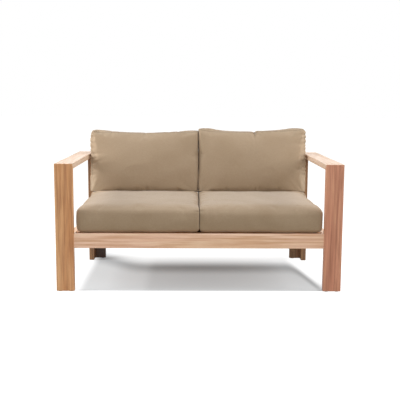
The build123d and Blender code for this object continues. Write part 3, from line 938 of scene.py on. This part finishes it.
@dataclass
class BackCushion(Cushion):
    """A plump back cushion whose corners stand higher than the middle of its top."""

    kind: ClassVar[str] = "back"
    panel_axis: ClassVar[Axis] = Axis.Y
    voxel: float = 5.5 * MM
    bulge: float = 34 * MM
    belly_power: float = 3.2
    foot_power: float = 1.6
    head_power: float = 2.3
    lean: float = 26 * MM
    side_draw: float = 3 * MM
    inner_rise: float = 5 * MM
    outer_rise: float = 6 * MM
    rise_power: float = 1.6
    notch: float = 2 * MM
    pucker: float = 1.6 * MM
    creases: int = 2
    pucker_place: float = 0.0
    step: float = 0.0
    seam_inset: float = 16 * MM
    rim: float = 0.06
    facing_share: float = 0.55
    top_crease: float = 2.2 * MM
    foot_crease: float = 4.2 * MM
    outer_proud: float = 9.5 * MM
    proud: float = 4 * MM
    rumple: Rumple = Rumple(height=1.6 * MM, length=150 * MM)
    outer_gathers: Gathers = Gathers(110 * MM, 325 * MM, spacing=21 * MM, depth=6.5 * MM, reach=55 * MM)
    inner_gathers: Gathers = Gathers(30 * MM, 330 * MM, spacing=30 * MM, depth=2.6 * MM, reach=26 * MM)
    foot_gathers: Gathers = Gathers(10 * MM, 590 * MM, spacing=26 * MM, depth=2.6 * MM, reach=30 * MM)
    top_gathers: Gathers = Gathers(10 * MM, 590 * MM, spacing=38 * MM, depth=1.4 * MM, reach=20 * MM)

    def shaped(self, rest: Numbers) -> Numbers:
        """Bulge the front, lean it back, and dip the top between its corners."""
        across, back, up = self.shares(rest)
        up = np.clip(up, 0, 1)
        places = rest.copy()
        outwards = across * self.outer
        rises = np.where(outwards > 0, self.outer_rise, self.inner_rise)
        top_rise = max(self.outer_rise, self.inner_rise)
        places[:, 2] -= (top_rise - rises * np.abs(across) ** self.rise_power) * up
        past = outwards - self.pucker_place / (self.high.x - self.low.x) * 2
        places[:, 2] += self.step * np.clip(past * 25, 0, 1) * np.clip(1 - past, 0, 1) * up**3
        height = 2 * up**0.9 - 0.93
        power = np.where(height < 0, self.foot_power, self.head_power)
        belly = (1 - np.abs(across) ** self.belly_power) * (1 - np.abs(height) ** power)
        places[:, 1] += (self.bulge * (1 - belly) + self.lean * up**1.4) * (1 - back)
        pull = self.side_draw * (1 - (2 * up - 1) ** 2) * (outwards > 0)
        places[:, 0] -= np.sign(across) * np.abs(across) ** 6 * pull
        return places

    def sunk(self, rest: Numbers) -> tuple[Numbers, Numbers]:
        """Sink the seams of the front and rear panels, the gathers at the sides and the top's pucker."""
        across, back, up = self.shares(rest)
        run, deep, level = (rest - np.array(self.low)).T
        wide, thick, tall = np.array(self.high) - np.array(self.low)
        rim = np.maximum(np.abs(across) > 1 - self.rim, np.maximum(up < self.rim, up > 1 - self.rim))
        # near sinks the seams and also carries the painted shade in their grooves.
        near = self.near_seams(deep, (self.seam_inset, thick - self.seam_inset)) * rim
        depth = near * self.seam_depth + self.rumple.sink(rest, 80 + self.outer)
        facing = (back < self.facing_share).astype(float)
        from_outer, from_inner = (run, wide - run) if self.outer < 0 else (wide - run, run)
        for gathers, along, away, seed in (
            (self.outer_gathers, level, from_outer, 31),
            (self.inner_gathers, level, from_inner, 41),
            (self.foot_gathers, run, level, 51),
            (self.top_gathers, run, tall - level, 61),
        ):
            for fold in gathers.folds(seed + self.outer):
                depth += fold.sink(along, away) * facing
        tuck = wide / 2 + self.pucker_place * self.outer
        fans = [Fan(tuck, tall, -math.pi / 2, 1.7, self.creases, 70 * MM, self.pucker, 90)]
        for x, z, aim in ((0.0, tall, -0.8), (wide, tall, -2.35), (0.0, 0.0, 0.8), (wide, 0.0, 2.35)):
            crease = self.top_crease if z else self.foot_crease
            fans.append(Fan(x, z, aim, 1.1, 4, 80 * MM, crease, 91 + self.outer))
        for fan in fans:
            depth += fan.sink(run, level) * facing
        depth += Fold(tuck, 26 * MM, 7 * MM, self.notch).sink(run, tall - level)
        return depth, near


@dataclass
class Zip:
    """A coil zip in the rear of a cushion: two tapes, its teeth, a slider and a pull."""

    kind: str
    side: str
    tape: Finish
    metal: Finish
    segments: int = 2
    tooth_pitch: float = 4 * MM
    tooth_length: float = 2.2 * MM
    tooth_height: float = 1.1 * MM
    tooth_share: float = 0.3
    tooth_shift: float = 0.5 * MM
    tape_sink: float = 0.9 * MM
    half_gap: float = 1.6 * MM
    eased: float = 0.2 * MM
    play: float = 0.1 * MM
    slider: tuple[float, float] = (3 * MM, 11 * MM)
    slider_half: float = 3.4 * MM
    slider_eased: float = 0.3 * MM
    pull: tuple[float, float] = (9 * MM, 30 * MM)
    pull_half: float = 2.2 * MM
    pull_depth: float = 0.55 * MM
    pull_play: float = 0.02 * MM

    @property
    def node(self) -> str:
        """Name the solid that the zip stands for."""
        return f"{self.kind}_cushion_zip_{self.side}"

    def block(self, shape: Shape, low: Vector, high: Vector, edge: float) -> None:
        """Add one block with eased edges.

        Args:
            shape: The bmesh that takes it.
            low: Its lowest corner.
            high: Its highest corner.
            edge: How much its edges are eased.
        """
        made = bmesh.ops.create_cube(shape, size=1.0)["verts"]
        bmesh.ops.scale(shape, vec=high - low, verts=made)
        bmesh.ops.translate(shape, vec=(low + high) / 2, verts=made)
        edges = list({e for v in made for e in v.link_edges})
        if edge:
            round_edges(shape, edges, edge, self.segments)

    def build(self) -> list[Piece]:
        """Build and dress the zip, and hang it on its cushion's body."""
        low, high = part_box(self.node)
        middle_z = (low.z + high.z) / 2
        seat_y = high.y - self.tape_sink
        shape = bmesh.new()
        for bottom, top in ((low.z, middle_z - self.half_gap), (middle_z + self.half_gap, high.z)):
            self.block(shape, Vector((low.x, low.y, bottom)), Vector((high.x, seat_y, top)), self.eased)
        tooth = Vector((self.tooth_pitch * self.tooth_share, self.tooth_height / 2, self.tooth_length / 2))
        for number in range(int((high.x - low.x) / self.tooth_pitch)):
            x = low.x + (number + 0.5) * self.tooth_pitch
            lift = self.tooth_shift if number % 2 else -self.tooth_shift
            centre = Vector((x, seat_y - self.eased, middle_z + lift))
            self.block(shape, centre - tooth, centre + tooth, 0.0)
        tapes = piece_from(shape, f"{self.kind}_zip_{self.side}")
        self.tape.dress(tapes)

        shape = bmesh.new()
        for (start, end), half, (under, over), edge in (
            (self.slider, self.slider_half, (low.y + self.play, high.y - self.play), self.slider_eased),
            (self.pull, self.pull_half, (high.y - self.pull_depth, high.y - self.pull_play), self.eased),
        ):
            corner = Vector((low.x + start, under, middle_z - half))
            self.block(shape, corner, Vector((low.x + end, over, middle_z + half)), edge)
        slider = piece_from(shape, f"{self.kind}_zip_slider_{self.side}")
        self.metal.dress(slider)
        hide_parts(self.node)
        for piece, slot in ((tapes, "zip"), (slider, "steel")):
            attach(piece, f"{self.kind}_cushion_{self.side}")
        return [tapes, slider]


@dataclass
class TimberFrame:
    """The boards of the frame, each with grain along its length."""

    tones: tuple[tuple[Tone, tuple[str, ...]], ...] = (
        (Tone.TAN, ("front_leg_left",)),
        (Tone.PINK, ("front_leg_right",)),
        (Tone.PALE, ("front_rail", "side_rail_left", "side_rail_right")),
        # Painted light: the arms and the back shelf take the pale greyish wood that holds the wash of light
        # on their tops.
        (Tone.PALE_AND_LIT, ("arm_left", "arm_right", "back_shelf")),
        # Brown wood with painted shade for the rear legs' boards under the seat.
        (Tone.BROWN, ("rear_leg_side_left", "rear_leg_side_right", "rear_leg_back_right")),
        # Painted shade: the left rear back board is darker than its twin on the right because it lies in
        # deeper shadow.
        (Tone.DEEP_SHADE, ("rear_leg_back_left",)),
    )
    rosy: tuple[str, ...] = ("front_leg_right", "front_rail")
    figured: tuple[str, ...] = ("front_rail",)
    figured_share: float = 1.4
    shift: float = 0.37

    def build(self) -> list[Piece]:
        """Dress every board."""
        slots = {part["node"]: part["material_slot"] for part in frame["record"]["subparts"]}
        boards = [name for name, slot in slots.items() if slot in ("timber", "slat_timber", "dowel")]
        tones = {name: tone for tone, names in self.tones for name in names}
        for number, name in enumerate(sorted(boards)):
            low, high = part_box(name)
            size = high - low
            grain = max(Axis, key=lambda axis: size[axis.value])
            tone = tones.get(name, random.Random(name).choice((Tone.TAN, Tone.TAN, Tone.PINK)))
            figure_share = self.figured_share if name in self.figured else 1.0
            rosy_share = 1.0 if name in self.rosy else 0.4
            timber = Timber(grain, tone, figure_share, rosy_share, shift=self.shift * number)
            timber.make(f"timber_{name}", (low, high)).dress(frame["nodes"][name])
        return [frame["nodes"][name] for name in boards]


@dataclass
class Fastenings:
    """Bolts, nuts, screws, plates and brackets of steel, and the glides of plastic."""

    glide: Moulded = Moulded(linear(38, 37, 35), linear(84, 82, 78))

    def build(self) -> list[Piece]:
        """Dress every fastening."""
        steel, plastic = Steel().make("stainless_steel"), self.glide.make("glide_plastic")
        done = []
        for part in frame["record"]["subparts"]:
            finish = {"steel": steel, "glide": plastic}.get(part["material_slot"])
            if finish:
                finish.dress(frame["nodes"][part["node"]])
                done.append(frame["nodes"][part["node"]])
        return done


@dataclass
class Cushions:
    """The two seat cushions and the two back cushions, with their zips."""

    def build(self) -> list[Piece]:
        """Build all four cushions."""
        cloth, foam = CoverCloth().make("cover_cloth"), Foam().make("foam")
        tape = Moulded(linear(120, 102, 76), linear(150, 130, 100)).make("zip_tape")
        metal = Steel().make("zip_steel")
        cushions = [
            SeatCushion("left", cloth, foam),
            SeatCushion("right", cloth, foam, high_round=22 * MM, outer_proud=9.5 * MM, outer_press=13 * MM),
            BackCushion("left", cloth, foam),
            BackCushion(
                "right", cloth, foam, outer_proud=7 * MM, inner_rise=6 * MM, outer_rise=10 * MM,
                rise_power=1.1, notch=5 * MM, pucker=3.6 * MM, creases=5, pucker_place=18 * MM,
                step=5 * MM, proud=5 * MM,
            ),
        ]
        pieces = [piece for cushion in cushions for piece in cushion.build()]
        for cushion in cushions:
            pieces += Zip(cushion.kind, cushion.side, tape, metal).build()
        return pieces


@dataclass(frozen=True)
class SoftBox:
    """A square lamp: where it hangs, its width and its power."""

    name: str
    place: tuple[float, float, float]
    size: float
    watts: float

    def hang(self, aim: Vector, tint: Colour) -> None:
        """Hang the lamp.

        Args:
            aim: What it points at.
            tint: Colour of its light.
        """
        light = bpy.data.lights.new(self.name, "AREA")
        light.shape = "SQUARE"
        light.size, light.energy, light.color = self.size, self.watts, tint
        lamp = bpy.data.objects.new(self.name, light)
        place = Vector(self.place)
        turn = (aim - place).to_track_quat("-Z", "Y")
        lamp.matrix_world = Matrix.Translation(place) @ turn.to_matrix().to_4x4()
        bpy.context.scene.collection.objects.link(lamp)


@dataclass(frozen=True)
class Bend:
    """How an end of the painted shadow's dark band bends away: from where to where, how sharply and how far.
    """

    start: float
    end: float
    power: float
    reach: float

    def offset(self, x: Value) -> Value:
        """Work out how far the band lies off its middle line."""
        return x.rise(self.start, self.end) ** self.power * self.reach


@dataclass
class Studio:
    """The camera at the photographed angle, a pale floor and soft light."""

    place: Vector = Vector((-39.07, -3891.42, 947.55)) * MM
    yaw: float = 0.0121
    pitch: float = 0.1401
    roll: float = 0.0052
    focal_pixels: float = 726.47
    picture_pixels: float = 400.0
    sensor: float = 36.0
    sight: float = 200.0
    aim: Vector = Vector((0.0, 0.0, 0.4))
    floor_size: float = 60.0
    floor_glow: Colour = (0.5, 0.46, 0.39)
    seen_grey: Colour = (0.285, 0.3, 0.31)
    # Painted shadow on the floor: how much of the white it leaves, where its edges lie, its dark band along
    # the rear and right, and its paler left stretch.
    shade_glow: float = 0.375
    shade_front: float = 0.385
    shade_front_fade: float = 0.02
    shade_left: float = 0.56
    shade_left_fade: float = 0.08
    shade_right: float = 0.59
    shade_right_fade: float = 0.1
    shadow_band_y: float = 0.11
    shadow_band_width: float = 0.2
    shadow_band_depth: float = 0.2
    left_bend: Bend = Bend(-0.25, -0.62, power=1.4, reach=0.24)
    right_bend: Bend = Bend(0.48, 0.63, power=1.8, reach=0.5)
    shadow_rear_fade: float = 0.36
    shadow_rear_start: float = -0.02
    shadow_pale_end: float = -0.3
    shadow_pale_fade: float = 0.07
    shadow_pale_share: float = 0.12
    ambient: Colour = (0.31, 0.297, 0.278)
    lamp_tint: Colour = (0.97, 0.985, 1.0)
    lamps: tuple[SoftBox, ...] = (
        SoftBox("overhead", (0.15, -1.2, 3.1), size=1.3, watts=16.0),
        SoftBox("left_side", (-2.4, -0.2, 1.5), size=1.4, watts=66.0),
        SoftBox("right_side", (2.4, -0.2, 1.5), size=1.4, watts=52.0),
        SoftBox("front_fill", (0.5, -4.4, 3.8), size=3.0, watts=83.0),
    )

    def camera(self) -> None:
        """Set the camera where the photograph was taken from."""
        lens = bpy.data.cameras.new("camera")
        lens.sensor_width = self.sensor
        lens.lens = self.focal_pixels / self.picture_pixels * self.sensor
        lens.clip_end = self.sight
        camera = bpy.data.objects.new("camera", lens)
        turns = ((-self.yaw, "Z"), (math.pi / 2 - self.pitch, "X"), (self.roll, "Z"))
        turned = Matrix.Translation(self.place)
        for angle, axis in turns:
            turned = turned @ Matrix.Rotation(angle, 4, axis)
        camera.matrix_world = turned
        bpy.context.scene.collection.objects.link(camera)
        bpy.context.scene.camera = camera

    def floor(self) -> None:
        """Lay the floor, which is white but for the loveseat's shadow: the real shadow shows in its diffuse
        part, and a painted shadow under the seat dims the white that it shows to the camera and to
        reflections, with a darker band along its rear and right edges and a paler stretch on the left.
        """
        shape = bmesh.new()
        bmesh.ops.create_grid(shape, x_segments=1, y_segments=1, size=self.floor_size / 2)
        floor = piece_from(shape, "floor")
        finish = Finish("floor_painted_shadow", Roughness=0.9, Specular_IOR_Level=0.0, Emission_Strength=1.0)
        x, y, _ = finish.split(finish.place())
        # Painted shadow: a patch under the seat dims the floor's white for the camera, a dark band darkens
        # its rear and right edges, and its left stretch is paler.
        past = y - (self.left_bend.offset(x) + self.shadow_band_y - self.right_bend.offset(x))
        inside = x.rise(-self.shade_left - self.shade_left_fade, -self.shade_left)
        inside = inside * x.rise(self.shade_right + self.shade_right_fade, self.shade_right)
        inside = inside * y.rise(-self.shade_front - self.shade_front_fade, -self.shade_front)
        inside = inside * past.rise(self.shadow_rear_fade, self.shadow_rear_start)
        band = past.rise(-self.shadow_band_width, 0.0) * past.rise(self.shadow_band_width, 0.0) * inside
        pale = x.rise(self.shadow_pale_end + self.shadow_pale_fade, self.shadow_pale_end) * self.shadow_pale_share
        inside = inside * (1.0 - pale)
        seen = finish.seen()
        glow = seen * (1.0 - inside * (1.0 - self.shade_glow) - band * self.shadow_band_depth)
        for name, colour in (
            ("Emission Color", finish.mix(glow, BLACK, WHITE)),
            ("Base Color", finish.mix(seen, self.floor_glow, self.seen_grey)),
        ):
            finish.tree.links.new(colour, finish.shader.inputs[name])
        finish.dress(floor)

    def world(self) -> None:
        """Light from all round, warm as off wood, and show white to the camera and in reflections."""
        world = bpy.data.worlds.new("studio")
        bpy.context.scene.world = world
        world.use_nodes = True
        nodes = Nodes(world.node_tree)
        light = nodes.mix(nodes.seen(), self.ambient, WHITE)
        nodes.tree.links.new(light, nodes.tree.nodes["Background"].inputs["Color"])

    def build(self) -> None:
        """Set up the whole studio."""
        self.camera()
        self.floor()
        self.world()
        for lamp in self.lamps:
            lamp.hang(self.aim, self.lamp_tint)
        bpy.context.scene.view_settings.view_transform = "Standard"


def main() -> None:
    """Build the loveseat's looks, sub-assembly by sub-assembly."""
    logging.basicConfig(level=logging.INFO, format="%(message)s")
    Studio().build()
    for assembly in (TimberFrame(), Fastenings(), Cushions()):
        for piece in assembly.build():
            REPORT.info("%s: %s with %d faces", type(assembly).__name__, piece.name, len(piece.data.polygons))


if __name__ == "__main__":
    main()
